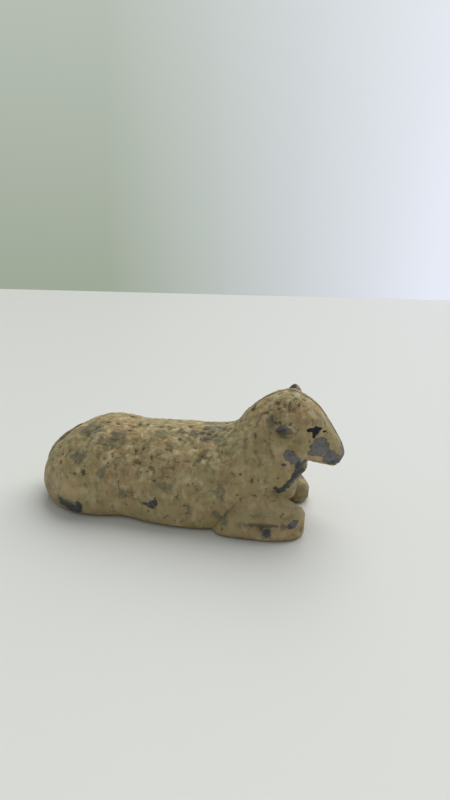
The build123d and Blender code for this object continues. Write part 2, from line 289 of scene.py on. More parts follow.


# worn cream paint: tan clouded with warm and pale, cream and dusky grain, green-grey dirt and some painted
# shade with ragged edges, painted shade in dusk, brown as painted shade in the hollows and in specks,
# bare lead where the wear mark passes a ragged edge, black on the eye
def agedPaint(name):
    material = bpy.data.materials.new(name)
    material.use_nodes = True
    tree = material.node_tree
    shader = tree.nodes["Principled BSDF"]
    coords = addNode(tree, "ShaderNodeTexCoord").outputs["Object"]
    marks = {}
    for label in markNames:
        marks[label] = addNode(tree, "ShaderNodeAttribute", attribute_name=label).outputs["Fac"]
    noises = ("broad", "cloud", "patch", "mottle", "fine")
    broad, cloud, patch, mottle, fine = (noiseNode(tree, coords, *paint[label]) for label in noises)
    combed = addNode(tree, "ShaderNodeMapping")
    combed.inputs["Scale"].default_value = paint["grainComb"]
    tree.links.new(coords, combed.inputs["Vector"])
    grain = noiseNode(tree, combed.outputs["Vector"], *paint["grain"])

    # strength of the grain: more upwards, less where the paint is plain
    level = addNode(tree, "ShaderNodeSeparateXYZ")
    tree.links.new(coords, level.inputs["Vector"])
    foot, top = paint["grainHeights"]
    upper = rampNode(tree, level.outputs["Z"], foot * mm, top * mm)
    strong = mathNode(tree, "ADD", mathNode(tree, "MULTIPLY", upper, paint["grainGain"]), paint["grainLow"])
    strong = mathNode(tree, "MULTIPLY", strong, mathNode(tree, "SUBTRACT", 1.0, marks["plain"]))

    # clouds, grain and dirt, then painted shade, and brown for painted shade in the hollows and for specks
    colour = layOver(tree, paint["tan"], broad, paint["warmRamp"], paint["warmShare"], paint["warm"])
    colour = layOver(tree, colour, cloud, paint["paleRamp"], paint["paleShare"], paint["pale"])
    colour = layOver(tree, colour, grain, paint["creamRamp"], strong, paint["cream"])
    colour = layOver(tree, colour, grain, paint["duskRamp"], strong, paint["dusk"])
    dirt = mathNode(tree, "MULTIPLY", marks["grime"], paint["grimeOnPaint"])
    ragged = mathNode(tree, "ADD", patch, dirt)
    colour = layOver(tree, colour, ragged, paint["greenRamp"], paint["greenShare"], paint["green"])
    colour = layOver(tree, colour, mottle, paint["mottleRamp"], strong, paint["dusk"])
    # painted shade: dusk where the shade mark is
    colour = mixColour(tree, marks["shade"], colour, paint["dusk"])
    colour = mixColour(tree, marks["flush"], colour, paint["blush"])
    # painted shade: brown in the hollows, where the fine noise passes its ramp, with the stains
    shadedPit = mathNode(tree, "MULTIPLY", marks["hollow"], rampNode(tree, fine, *paint["pitRamp"]))
    speck = mathNode(tree, "MULTIPLY", rampNode(tree, fine, *paint["speckRamp"]), paint["speckShare"])
    brownShare = mathNode(tree, "MINIMUM", mathNode(tree, "ADD", shadedPit, speck), paint["brownMost"])
    colour = mixColour(tree, brownShare, colour, paint["brown"])

    # bare lead with a brown rim, then the eye
    wander = mathNode(tree, "MULTIPLY", mathNode(tree, "SUBTRACT", mottle, 0.5), paint["raggedEdge"])
    edge = mathNode(tree, "ADD", marks["wear"], wander)
    bare = rampNode(tree, edge, *paint["bareRamp"])
    fineLead = mathNode(tree, "MULTIPLY", fine, paint["leadFine"])
    lightLead = mathNode(tree, "ADD", fineLead, mathNode(tree, "MULTIPLY", cloud, paint["leadCloud"]))
    dirtyLead = mathNode(tree, "MULTIPLY", marks["grime"], paint["grimeOnLead"])
    lightLead = mathNode(tree, "SUBTRACT", lightLead, dirtyLead)
    leadShare = rampNode(tree, lightLead, *paint["leadRamp"])
    colour = mixColour(tree, bare, colour, mixColour(tree, leadShare, paint["leadDark"], paint["lead"]))
    rimOuter = rampNode(tree, edge, *paint["rimOuter"])
    rim = mathNode(tree, "SUBTRACT", rimOuter, rampNode(tree, edge, *paint["rimInner"]))
    rim = mathNode(tree, "MULTIPLY", mathNode(tree, "MAXIMUM", rim, 0.0), paint["rimShare"])
    colour = mixColour(tree, rim, colour, paint["brown"])
    colour = mixColour(tree, rampNode(tree, marks["eye"], *paint["eyeRamp"]), colour, paint["black"])
    tree.links.new(colour, shader.inputs["Base Color"])

    # finish: duller where mottled, a little smoother and metallic where bare
    tree.links.new(mathNode(tree, "MULTIPLY", bare, paint["metal"]), shader.inputs["Metallic"])
    dull = mathNode(tree, "ADD", mathNode(tree, "MULTIPLY", mottle, paint["roughMottle"]), paint["roughLow"])
    dull = mathNode(tree, "SUBTRACT", dull, mathNode(tree, "MULTIPLY", bare, paint["roughLead"]))
    tree.links.new(dull, shader.inputs["Roughness"])
    shader.inputs["Specular IOR Level"].default_value = paint["reflection"]
    fineHeight = mathNode(tree, "MULTIPLY", fine, paint["bumpFine"])
    height = mathNode(tree, "ADD", mathNode(tree, "MULTIPLY", mottle, paint["bumpMottle"]), fineHeight)
    height = mathNode(tree, "SUBTRACT", height, mathNode(tree, "MULTIPLY", bare, paint["bumpChip"]))
    bump = addNode(tree, "ShaderNodeBump")
    bump.inputs["Strength"].default_value = paint["bumpStrength"]
    bump.inputs["Distance"].default_value = paint["bumpHeight"] * mm
    tree.links.new(height, bump.inputs["Height"])
    tree.links.new(bump.outputs["Normal"], shader.inputs["Normal"])
    return material


paintMaterial = agedPaint("agedPaint")
print("paint made")


body = {
    # back x, back z, belly x, belly z, half width, share of height where widest, fullness above and below
    "stations": [
        (-26.5, 0.6, -25.9, -1.5, 2.4, 0.35, 0.60, 0.85),
        (-27.3, 2.1, -25.2, -1.5, 4.3, 0.35, 0.60, 0.85),
        (-27.7, 5.0, -24.3, -1.5, 6.2, 0.35, 0.60, 0.85),
        (-26.4, 8.3, -22.8, -1.5, 8.3, 0.35, 0.60, 0.86),
        (-23.5, 11.3, -20.6, -1.5, 10.2, 0.35, 0.60, 0.88),
        (-20.0, 14.0, -18.0, -1.5, 11.5, 0.35, 0.60, 0.88),
        (-15.3, 15.5, -14.4, -1.5, 12.0, 0.35, 0.60, 0.88),
        (-9.0, 15.2, -8.8, -1.5, 11.6, 0.35, 0.60, 0.90),
        (-2.2, 15.4, -2.0, -1.5, 11.9, 0.35, 0.60, 0.95),
        (4.5, 15.8, 5.2, -1.5, 11.7, 0.35, 0.60, 0.95),
        (8.6, 16.6, 11.0, -1.5, 11.0, 0.42, 0.58, 0.85),
        (11.0, 19.4, 15.3, 0.3, 9.8, 0.42, 0.58, 0.70),
        (13.7, 21.9, 18.7, 3.0, 8.4, 0.42, 0.58, 0.70),
        (16.5, 23.5, 20.8, 6.2, 7.6, 0.42, 0.58, 0.70),
        (19.1, 24.1, 22.1, 9.2, 6.6, 0.42, 0.58, 0.70),
        (21.6, 23.1, 22.8, 11.5, 5.9, 0.50, 0.60, 0.60),
        (23.7, 21.7, 24.0, 11.5, 5.3, 0.46, 0.62, 0.62),
        (25.6, 19.5, 25.2, 11.3, 4.4, 0.46, 0.62, 0.62),
        (27.2, 17.2, 26.3, 11.1, 3.6, 0.46, 0.62, 0.62),
        (28.5, 15.1, 27.2, 11.0, 2.9, 0.46, 0.62, 0.62),
        (29.0, 13.8, 28.0, 11.3, 2.2, 0.46, 0.62, 0.62),
        (29.1, 13.1, 28.6, 12.0, 1.1, 0.46, 0.62, 0.62),
    ],
    "along": 440,
    "below": 52,
    "above": 116,
    "seamHalf": 0.15,
    "ventX": -3.0,
    "ventRadius": 1.3,
    "ventDepth": 1.8,
    "ventBelow": 0.5,
    "edgeRadius": 1.0,
    # relief fades between these distances from the seam and heights over the table
    "seamFade": (0.2, 1.6),
    "tableFade": (0.2, 1.8),
    "tableRelief": 0.35,
    "swellFade": (1.0, 4.0),
    "foldFade": (1.5, 4),
    "foldEnds": 15,
    # fleece: size, depth and step of the seed of its curls, then lumps, pits and growth upwards
    "curls": [(2.1, 0.16, 0), (1.15, 0.16, 6), (0.62, 0.10, 8)],
    "lumpSize": 3.3,
    "lumpDepth": 0.12,
    "pitSize": 0.9,
    "pitRange": (0.5, 0.8),
    "pitDepth": 0.13,
    "pitGain": 0.2,
    "pitHeights": (8, 12),
    "dabLow": 0.75,
    "dabGain": 0.45,
    "dabHeights": (7, 13),
    "faceSize": 0.7,
    "faceDepth": 0.05,
    # front edge of the fleece on the head
    "capPlace": 21.0,
    "capLean": 0.14,
    "capWander": 0.3,
    "capSize": 1.5,
    "capSeed": 8,
    "capRange": (-0.3, 0.7),
    "faceBare": 0.85,
    # mouth and nostril
    "mouthPlace": (27.5, 11.9),
    "mouthLean": 0.25,
    "mouthDepth": 0.22,
    "mouthHalf": 0.22,
    "mouthRange": (25.6, 26.6),
    "nostrilPlace": (28.2, 12.9),
    "nostrilHalf": (0.45, 0.4),
    "nostrilDepth": 0.35,
    "nostrilRange": (0.4, 0.9),
    # solder beads
    "beadHeight": 0.22,
    "beadRough": 0.16,
    "beadSize": 0.7,
    # marks of the paint: soft edges, heights and strengths
    "raggedSize": 0.8,
    "softEdge": (0.4, 1.0),
    "stainEdge": (0.5, 0.9),
    "stainDepth": 0.07,
    "shadeEdge": (0.3, 1.1),
    "topFrom": 12,
    "neckStart": (7.0, 11.0),
    "crownHeights": (17.5, 20.0),
    "calmNeck": 0.6,
    "calmCrown": 0.3,
    # painted shade in the hollows: share from the folds, depth for full shade, and where it begins
    "foldShade": 0.45,
    "hollowDepth": 0.20,
    "hollowStart": 0.25,
    "dirtMost": 0.9,
    "beadDirt": 1.2,
    # green-grey in the low parts of the fleece relief
    "lowReliefGreen": 0.25,
    "lowRange": (0.05, 0.3),
    "darkBelow": 6.0,
    "darkBehind": 10.0,
    "darkChip": 0.3,
    "flushMost": 0.8,
    "faceShade": 0.12,
    "spotShade": 0.5,
    "plainMost": 0.65,
    # swellings and dips of the side: x, z, half length, half height, rise
    "swells": [
        (-17.0, 4.0, 6.0, 6.0, 0.35),
        (-9.0, 2.5, 3.5, 5.0, -0.75),
        (-1.0, 5.0, 6.0, 5.0, 0.25),
        (7.8, 6.0, 1.6, 6.0, -0.55),
        (11.5, 10.5, 3.0, 4.5, 0.45),
        (20.0, 14.5, 2.2, 2.4, 0.30),
        (20.6, 5.8, 1.5, 1.5, 0.85),
        (22.0, 11.6, 0.9, 1.1, 0.40),
        (23.4, 18.6, 1.7, 0.9, -0.30),
        (23.2, 20.3, 1.8, 0.7, 0.22),
    ],
    # folds of the neck: circle centre x, z, radius, first and last angle, depth
    "folds": [
        (22.5, 17.5, 6.4, 165, 228, 0.27),
        (22.0, 17.9, 8.4, 160, 225, 0.32),
        (22.8, 17.2, 10.9, 165, 215, 0.27),
        (21.6, 16.6, 12.4, 182, 222, 0.22),
    ],
    "foldHalfWidth": 0.42,
    # run of solder up the breast where the foreleg is joined: x, z, half length, half height, tilt
    "beads": [
        (22.2, 12.9, 0.35, 0.30, 0),
        (21.8, 12.3, 0.40, 0.45, 0),
        (21.2, 12.5, 0.26, 0.55, 0),
        (21.7, 11.4, 0.65, 0.75, 0),
        (20.9, 10.5, 0.50, 0.70, -20),
        (20.3, 9.5, 0.45, 0.55, -30),
        (19.6, 8.7, 0.50, 0.40, 40),
        (18.8, 8.0, 0.65, 0.42, 10),
        (17.8, 8.5, 0.45, 0.34, -30),
    ],
    # bare lead on each side
    "chipsRight": [
        (24.4, 16.6, 0.85, 0.60, 0),
        (24.0, 15.5, 0.85, 0.85, 0),
        (25.1, 15.3, 0.85, 0.85, 0),
        (23.6, 14.5, 0.70, 0.45, 0),
        (25.0, 14.5, 0.85, 0.50, 0),
        (26.0, 13.6, 0.60, 0.80, 0),
        (26.0, 14.8, 0.60, 0.60, 0),
        (26.4, 14.0, 0.95, 0.85, -30),
        (27.2, 13.0, 1.00, 0.90, -30),
        (27.6, 12.3, 0.80, 0.70, -15),
        (28.4, 12.9, 0.50, 0.60, 0),
        (28.5, 14.7, 0.90, 0.18, -63),
        (19.9, 14.5, 0.85, 0.65, -30),
        (19.4, 15.2, 0.40, 0.42, 0),
        (20.6, 13.7, 0.62, 0.58, -30),
        (21.4, 13.4, 0.30, 0.40, 0),
        (18.9, 12.9, 0.42, 0.22, 0),
        (-2.5, 5.1, 0.32, 0.80, 5),
        (-2.9, 4.5, 0.70, 0.50, 20),
        (-3.9, 4.4, 0.75, 0.20, 8),
        (-3.0, 3.95, 0.45, 0.28, 0),
        (-20.7, 2.0, 0.75, 0.60, -20),
        (-19.2, 1.6, 1.10, 0.65, -15),
        (-17.6, 1.3, 0.90, 0.65, -5),
        (-16.7, 2.0, 0.40, 0.80, 10),
        (-18.2, 1.9, 1.20, 0.60, -8),
    ],
    "chipsLeft": [
        (24.8, 15.0, 1.2, 1.2, 15),
        (27.4, 13.2, 0.8, 0.8, 0),
        (-8.5, 5.6, 0.9, 0.5, -30),
        (-20.0, 1.4, 1.2, 0.5, 8),
    ],
    # green-grey dirt, seen from the side
    "grimeRight": [
        (8.6, 7.6, 0.8, 1.3, 5),
        (8.1, 3.6, 0.7, 1.0, 0),
        (15.9, 19.9, 0.7, 0.7, 10),
        (-11.8, 13.6, 1.8, 0.7, 0),
        (-17.4, 10.7, 1.2, 0.6, 15),
        (-12.5, 9.1, 0.8, 1.0, 30),
        (-9.3, 5.0, 0.7, 1.4, 0),
        (-1.0, 8.0, 1.2, 0.8, -20),
        (3.4, 5.0, 0.4, 0.6, 0),
        (27.1, 12.2, 0.9, 0.5, 0),
        (18.9, 12.9, 0.5, 0.3, 0),
    ],
    "grimeLeft": [
        (8.2, 6.5, 0.8, 1.8, -4),
        (16.4, 19.6, 1.3, 1.1, 15),
        (-12.0, 7.0, 1.4, 0.9, -20),
    ],
    # dirt and dark spots on the back, seen from above: x, y, half length, half breadth, tilt
    "grimeTop": [
        (4.2, 3.8, 2.4, 1.4, 20),
        (7.5, 4.5, 1.4, 2.0, 0),
        (-17.0, 4.5, 2.0, 1.8, -30),
        (5.6, 1.4, 2.2, 1.0, 0),
        (-4.0, 4.0, 1.6, 0.8, 10),
    ],
    "pitsTop": [
        (1.5, 2.6, 0.40, 0.40, 0),
        (2.6, 3.6, 0.30, 0.35, 0),
        (3.4, 3.2, 0.45, 0.50, 0),
        (4.9, 3.6, 0.40, 0.45, 0),
        (6.2, 4.1, 0.40, 0.45, 0),
        (4.5, 5.0, 0.40, 0.40, 0),
        (-7.4, 1.3, 0.25, 0.40, 0),
        (-15.9, 4.6, 0.60, 0.28, -50),
    ],
    # reddish paint, painted shade, and black paint
    "flush": [(-18.6, 5.3, 2.0, 1.4, 0), (24.2, 13.4, 1.6, 0.5, -5), (-21.5, 9.8, 1.2, 0.8, 40)],
    "shade": [(16.8, 20.1, 1.1, 1.0, -20), (16.2, 18.9, 0.7, 0.9, 0)],
    "eye": [
        (22.85, 18.70, 0.42, 0.25, 0),
        (23.3, 18.70, 0.40, 0.24, 0),
        (24.0, 18.72, 0.55, 0.24, 0),
        (23.8, 19.08, 0.22, 0.15, 0),
        (23.8, 18.25, 0.38, 0.30, 0),
        (23.58, 17.75, 0.20, 0.30, 0),
        (25.3, 18.2, 0.26, 0.11, 0),
    ],
    # dark pits
    "pits": [
        (-21.2, 9.0, 0.42, 0.34, 0),
        (-17.6, 8.1, 0.32, 0.36, 0),
        (-16.1, 8.5, 0.34, 0.50, 0),
        (-15.5, 6.6, 0.26, 0.24, 0),
        (-20.5, 6.6, 0.20, 0.20, 0),
        (-6.2, 13.2, 0.28, 0.28, 0),
        (-4.2, 11.9, 0.24, 0.26, 0),
        (-6.8, 11.1, 0.50, 0.30, -15),
        (-3.6, 10.4, 0.60, 0.30, -10),
        (-3.2, 10.0, 0.20, 0.30, 0),
        (-0.8, 10.8, 0.55, 0.14, 20),
        (0.9, 11.7, 0.26, 0.18, 0),
        (3.9, 8.9, 0.22, 0.22, 0),
        (5.5, 8.0, 0.18, 0.22, 0),
        (11.6, 7.6, 0.24, 0.30, 0),
        (12.1, 7.0, 0.22, 0.24, 0),
        (12.7, 6.8, 0.20, 0.34, 0),
        (13.9, 10.0, 0.18, 0.40, 10),
        (13.8, 14.8, 0.26, 0.50, 30),
        (9.5, 17.0, 0.26, 0.40, 30),
        (10.4, 18.3, 0.40, 0.18, 50),
        (12.5, 20.6, 0.60, 0.16, 45),
        (18.1, 10.4, 0.30, 0.20, 0),
        (17.8, 9.7, 0.22, 0.18, 0),
        (19.0, 22.4, 0.22, 0.65, 0),
        (18.1, 22.4, 0.30, 0.26, 0),
        (16.8, 22.5, 0.34, 0.20, 0),
        (20.6, 22.6, 0.24, 0.30, 0),
    ],
}


# sides of the body: at each station a rib of two cubic curves from the belly to the side and on to the back,
# the stations joined by a smooth curve
def ribSurface():
    rows = throughRows(body["stations"], body["along"])
    columns = (rows[:, k][:, None, None] for k in range(8))
    backX, backZ, bellyX, bellyZ, halfWidth, widest, full, lowFull = columns
    alongX, up, out = np.array([1.0, 0, 0]), np.array([0, 0, 1.0]), np.array([0, 1.0, 0])
    belly = bellyX * alongX + bellyZ * up + body["seamHalf"] * out
    back = backX * alongX + backZ * up + body["seamHalf"] * out
    rise = back - belly
    reach = (halfWidth - body["seamHalf"]) * out
    side = belly + rise * widest + reach
    low = np.linspace(0, 1, body["below"], endpoint=False)[None, :, None]
    high = np.linspace(0, 1, body["above"])[None, :, None]
    lower = cubic(belly, belly + reach * lowFull, side - rise * widest * lowFull, side, low)
    upper = cubic(side, side + rise * (1 - widest) * full, back + reach * full, back, high)
    return np.concatenate([lower, upper], axis=1)


# share of fleece: 1 behind a leaning, wandering edge on the head, and a small rest on the face
def fleeceCover(points):
    lean = body["capLean"] * (points[..., 2] - body["capPlace"])
    wander = body["capWander"] * latticeNoise(points, body["capSize"], body["capSeed"])
    edge = body["capPlace"] + lean + wander
    return 1 - body["faceBare"] * ease(points[..., 0] - edge, *body["capRange"])


# fleece: lumps and rounded curls of three sizes, less the pits, growing upwards,
# and a fine roughness on the face
def fleeceRelief(here, cover, seed):
    z = here[..., 2]
    curls = 0
    for size, depth, step in body["curls"]:
        curls = curls + depth * (0.5 - cellNoise(here, size, seed + step))
    relief = body["lumpDepth"] * latticeNoise(here, body["lumpSize"], seed + 1) + curls
    deep = latticeNoise(here, body["pitSize"], seed + 3) + body["pitGain"] * ease(z, *body["pitHeights"])
    pits = ease(deep, *body["pitRange"])
    growth = body["dabLow"] + body["dabGain"] * ease(z, *body["dabHeights"])
    dabs = (relief - body["pitDepth"] * pits) * cover * growth
    return relief, dabs + body["faceDepth"] * latticeNoise(here, body["faceSize"], seed + 7) * (1 - cover)


# folds of the neck: grooves with a bell-shaped section along arcs of circles, fading at the arc's ends
def neckFolds(x, y, z):
    folds = 0
    for foldX, foldZ, radius, first, final, depth in body["folds"]:
        away = np.hypot(x - foldX, z - foldZ) - radius
        angle = np.degrees(np.arctan2(z - foldZ, x - foldX)) % 360
        begun = ease(angle, first, first + body["foldEnds"])
        inArc = begun * (1 - ease(angle, final - body["foldEnds"], final))
        groove = depth * np.exp(-(away / body["foldHalfWidth"]) ** 2)
        folds = folds - groove * inArc * ease(y, *body["foldFade"])
    return folds


# swellings and dips of the side: a sum of bell shapes over x and z
def sideSwells(x, y, z):
    swell = 0
    for swellX, swellZ, long, tall, amount in body["swells"]:
        bell = np.exp(-(((x - swellX) / long) ** 2 + ((z - swellZ) / tall) ** 2))
        swell = swell + amount * bell * ease(y, *body["swellFade"])
    return swell


# mouth and nostril: a sloping groove and a dip, both bell-shaped in section
def faceLines(x, y, z):
    cornerX, cornerZ = body["mouthPlace"]
    below = z - cornerZ - body["mouthLean"] * (cornerX - x)
    mouth = -body["mouthDepth"] * np.exp(-(below / body["mouthHalf"]) ** 2) * ease(x, *body["mouthRange"])
    (holeX, holeZ), (holeLong, holeTall) = body["nostrilPlace"], body["nostrilHalf"]
    bell = np.exp(-(((x - holeX) / holeLong) ** 2 + ((z - holeZ) / holeTall) ** 2))
    return mouth, -body["nostrilDepth"] * bell * ease(y, *body["nostrilRange"])


# half of the body: the ribs raised along their normals by swellings, folds, fleece and beads,
# rounded in at the table, cut level there and at the seam, and hollowed at the vent
def halfBody(name, node, sign, chips, grime, seed):
    points = ribSurface()
    normals = gridNormals(points)
    x, y, z = points[..., 0], points[..., 1], points[..., 2]
    here = points * np.array([1, sign, 1])
    rough = latticeNoise(here, body["raggedSize"], seed + 5)
    onTop = z > body["topFrom"]
    cover = fleeceCover(points)
    relief, dabs = fleeceRelief(here, cover, seed)
    spots = np.maximum(ovals(points, body["pits"], rough), ovals(points, body["pitsTop"], rough, 1) * onTop)
    stains = ease(spots, *body["stainEdge"])
    dabs = dabs - body["stainDepth"] * stains
    beads = ease(ovals(points, body["beads"], rough), *body["softEdge"])
    folds = neckFolds(x, y, z)
    mouth, nostril = faceLines(x, y, z)
    nearTable = body["tableRelief"] + (1 - body["tableRelief"]) * ease(z, *body["tableFade"])
    raised = sideSwells(x, y, z) + (dabs + folds) * ease(y, *body["seamFade"]) * nearTable + mouth + nostril
    beadRelief = body["beadHeight"] + body["beadRough"] * latticeNoise(here, body["beadSize"], seed + 9)
    points = points + normals * (raised + beads * beadRelief)[..., None]

    outward = normals[:, body["below"]] * np.array([1, 1, 0])
    outward /= np.linalg.norm(outward, axis=1, keepdims=True)
    points = points - outward[:, None, :] * edgeInset(points[..., 2], body["edgeRadius"])[..., None]
    points[..., 1] = np.maximum(points[..., 1], body["seamHalf"])
    points[..., 2] = np.maximum(points[..., 2], 0)
    inVent = np.hypot(points[..., 0] - body["ventX"], points[..., 1]) < body["ventRadius"]
    points[..., 2] += body["ventDepth"] * (inVent & (points[..., 2] < body["ventBelow"]))

    dirt = np.maximum(ovals(points, grime, rough), ovals(points, body["grimeTop"], rough, 1) * onTop)
    dirt = body["dirtMost"] * ease(dirt, *body["softEdge"])
    lowRear = ease(body["darkBelow"] - z, 0, 1.0) * ease(body["darkBehind"] - x, 0, 1.0)
    darkChips = body["dirtMost"] * lowRear * (ovals(points, chips, rough) > body["darkChip"])
    neck, crown = ease(x, *body["neckStart"]), ease(z, *body["crownHeights"])
    # painted shade in the hollows: brown where the fleece, the folds, the mouth and the nostril sink, less on
    # the neck
    calm = 1 - neck * (body["calmNeck"] - body["calmCrown"] * crown)  # few dark hollows on the neck
    sunk = -(dabs * calm + body["foldShade"] * folds + mouth + nostril) / body["hollowDepth"]
    grimy = np.maximum(np.maximum(dirt, body["beadDirt"] * beads), darkChips)
    shaded = body["spotShade"] * ease(ovals(points, body["shade"], rough), *body["shadeEdge"])
    marks = {
        "wear": ovals(points, chips + body["beads"], rough) * (y > body["seamFade"][0]),
        # painted shade in the hollows, with the stains
        "hollow": np.clip(sunk - body["hollowStart"] + stains, 0, 1),
        # dirt, and green-grey in the low parts of the relief
        "grime": grimy + body["lowReliefGreen"] * ease(-relief, *body["lowRange"]),
        "eye": ovals(points, body["eye"], 0),
        "flush": body["flushMost"] * ease(ovals(points, body["flush"], rough), *body["softEdge"]),
        # painted shade on the face and in spots beside the ear
        "shade": body["faceShade"] * (1 - cover) + shaded,
        "plain": body["plainMost"] * neck * (1 - crown),
    }
    points[..., 1] *= sign
    settle(ringMesh(name, points, marks), node)


halfBody("rightHalf", "right_half_shell", -1, body["chipsRight"], body["grimeRight"], 11)
halfBody("leftHalf", "left_half_shell", 1, body["chipsLeft"], body["grimeLeft"], 31)
print("body halves made")


seam = {
    "steps": 900,
    "span": 3,  # steps to each side that give the direction
    "least": 0.02,
    # section of the bead: y, lift
    "profile": [
        (-0.15, -0.5),
        (-0.24, -0.06),
        (-0.16, 0.06),
        (0.0, 0.10),
        (0.16, 0.06),
        (0.24, -0.06),
        (0.15, -0.5),
    ],
    "wobble": 0.35,
    "wobbleSize": 1.3,
    "sway": 0.05,
    "swaySize": 2.0,
    "proudLow": 0.25,
    "proudRange": (9.5, 11.5),
    "crestRange": (9.5, 11.0),
    "crestAbove": 9,
    "wear": 0.72,
    "wearSize": 3.0,
    "wearRange": (-0.5, 0.1),
    "hollow": 0.55,
    "grime": 0.1,
    "crestGrime": 0.3,
    "seed": 71,
}


# solder line: a low rounded bead carried round the outline of the halves on the median plane,
# standing less proud along the back than on the neck and head
def seamLine(name):
    seed = seam["seed"]
    rows = throughRows(body["stations"], seam["steps"])
    outline = np.concatenate([rows[:, 0:2], rows[::-1, 2:4]])
    outline[:, 1] = np.maximum(outline[:, 1], seam["least"])
    ahead = np.roll(outline, -seam["span"], axis=0) - np.roll(outline, seam["span"], axis=0)
    ahead /= np.maximum(np.linalg.norm(ahead, axis=1, keepdims=True), 1e-9)
    outward = np.stack([-ahead[:, 1], ahead[:, 0]], axis=-1)
    profile = np.array(seam["profile"])
    place = np.stack([outline[:, 0], np.zeros(len(outline)), outline[:, 1]], axis=-1)
    wobble = 1 + seam["wobble"] * latticeNoise(place, seam["wobbleSize"], seed)
    proud = seam["proudLow"] + (1 - seam["proudLow"]) * ease(outline[:, 0], *seam["proudRange"])
    raised = profile[:, 1] * proud[:, None]
    lift = np.where(profile[:, 1] > 0, raised, profile[:, 1]) * wobble[:, None]
    sway = seam["sway"] * latticeNoise(place, seam["swaySize"], seed + 1)
    points = np.stack([
        place[:, None, 0] + outward[:, None, 0] * lift,
        np.broadcast_to(profile[None, :, 0], lift.shape) + sway[:, None],
        np.maximum(place[:, None, 2] + outward[:, None, 1] * lift, 0),
    ], axis=-1)
    crest = ease(points[..., 0], *seam["crestRange"]) * (points[..., 2] > seam["crestAbove"])
    worn = ease(latticeNoise(points, seam["wearSize"], seed + 2), *seam["wearRange"])
    marks = {
        "wear": seam["wear"] * crest * worn,
        "hollow": seam["hollow"] * crest,
        "grime": seam["grime"] + seam["crestGrime"] * crest,
    }
    settle(ringMesh(name, points, marks), "seam_solder")


seamLine("seamLine")
print("seam made")


foreleg = {
    # x, outer y, inner y, top z, rise of the top for each millimetre towards the body, lift of the sole
    "stations": [
        (7.2, 10.2, 6.4, 0.5, 0.1, 0.0),
        (7.9, 11.1, 6.0, 1.2, 0.3, 0.0),
        (8.8, 12.0, 5.6, 2.2, 0.6, 0.0),
        (10.2, 12.5, 5.2, 3.8, 0.8, 0.0),
        (12.0, 12.6, 5.0, 5.2, 0.8, 0.0),
        (14.0, 12.6, 4.9, 5.8, 0.8, 0.0),
        (16.5, 12.4, 4.8, 5.6, 0.6, 0.0),
        (19.0, 11.9, 4.6, 5.3, 0.3, 0.0),
    ],
    "right": {
        "knee": [
            (21.4, 10.9, 4.6, 5.1, 0.0, 0.0),
            (22.6, 9.9, 5.0, 4.7, 0.0, 0.4),
            (23.3, 8.8, 5.8, 3.7, 0.0, 1.2),
        ],
        "chips": [(21.6, 3.3, 0.60, 0.55, 0), (17.4, 1.9, 0.60, 0.50, 0), (21.0, 2.9, 0.3, 0.3, 0)],
        "topDirtAndShade": 0.05,
        "topShade": 0.34,
    },
    "left": {
        "knee": [
            (21.2, 10.9, 4.1, 4.5, 0.0, 0.0),
            (22.5, 9.6, 4.7, 3.6, 0.0, 0.5),
            (23.3, 8.2, 5.8, 2.4, 0.0, 1.1),
        ],
        "chips": [(22.0, 4.2, 0.6, 0.3, 0), (14.0, 3.0, 0.6, 0.5, 10), (18.5, 1.2, 0.7, 0.5, 0)],
        "topDirtAndShade": 0.30,
        "topShade": 0.0,
    },
    "grime": [
        (20.6, 4.4, 0.7, 0.35, 0),
        (16.5, 3.1, 3.2, 0.40, 0),
        (10.0, 3.4, 0.6, 1.0, 0),
        (17.4, 1.9, 0.9, 0.8, 0),
    ],
    "pits": [(9.5, 1.5, 0.16, 0.34, -25), (22.9, 1.7, 0.14, 0.45, 0), (18.6, 3.0, 0.6, 0.16, 0)],
    "along": 170,
    "around": 150,
    "square": 2.8,
    "middle": 0.38,
    "slopeRange": (-0.3, 0.8),
    "edgeRadius": 0.8,
    # relief: size, depth
    "lump": (2.4, 0.10),
    "curl": (1.6, 0.10),
    "fine": (0.7, 0.05),
    # groove under the forearm
    "grooveDepth": 0.50,
    "grooveHalf": 0.90,
    "grooveHeight": 2.9,
    "grooveFall": 0.01,
    "grooveFrom": 10,
    "grooveSide": (0.1, 0.7),
    "grooveStart": (10.0, 12.5),
    "grooveEnd": (20.5, 22.0),
    # marks of the paint
    "raggedSize": 0.8,
    "wearOutside": 7.0,
    "insideFrom": 9.0,
    "insideFade": 1.5,
    "insideTop": (3.3, 4.0),
    "insideDirt": 0.45,
    "dirtMost": 0.9,
    "softEdge": (0.4, 1.0),
    "stainEdge": (0.5, 0.9),
    # painted shade in the hollows and the groove
    "grooveShade": 0.35,
    "hollowDepth": 0.2,
    "hollowStart": 0.3,
    # dirt with painted shade, and painted shade alone, on the top of the leg
    "topDirtShadeHeights": (3.2, 4.5),
    "shadeStart": (3.2, 4.8),
    "shadeEnd": (5.2, 7.2),
    "plain": 0.4,
}


